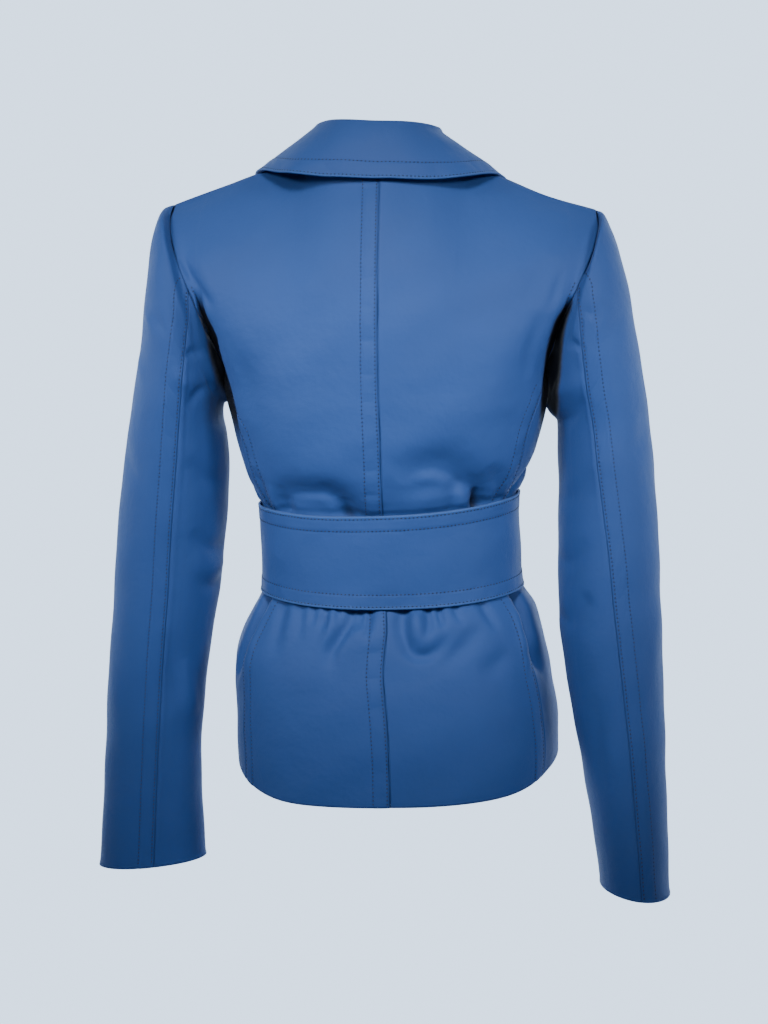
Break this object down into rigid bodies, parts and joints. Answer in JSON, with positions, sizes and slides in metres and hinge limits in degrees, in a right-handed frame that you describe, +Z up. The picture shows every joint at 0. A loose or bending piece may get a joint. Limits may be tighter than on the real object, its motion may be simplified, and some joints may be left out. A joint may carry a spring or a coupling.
{
  "type": "belted blazer",
  "caption": "Short fitted blazer with a notched collar, two-piece sleeves and a wide waist belt, kept in its filled-out worn form with neck, hem and cuffs open.",
  "frame": {"origin": "middle of the neck opening at the height where the shoulder seams meet the collar, where the wearer's shoulders hold the garment", "axes": "+Z up, the fronts face -Y, +X to the wearer's left"},
  "size_m": [0.529, 0.2516, 0.6873],
  "materials": {
    "blue_cotton": "smooth mid-blue cotton satin weave, slightly lustrous"
  },
  "bodies": {
    "root": {"back_left": "blue_cotton", "back_right": "blue_cotton", "side_left": "blue_cotton", "side_right": "blue_cotton", "front_left": "blue_cotton", "front_right": "blue_cotton", "upper_sleeve_left": "blue_cotton", "under_sleeve_left": "blue_cotton", "upper_sleeve_right": "blue_cotton", "under_sleeve_right": "blue_cotton", "collar": "blue_cotton", "lapel_left": "blue_cotton", "lapel_right": "blue_cotton", "belt": "blue_cotton"}
  },
  "joints": []
}
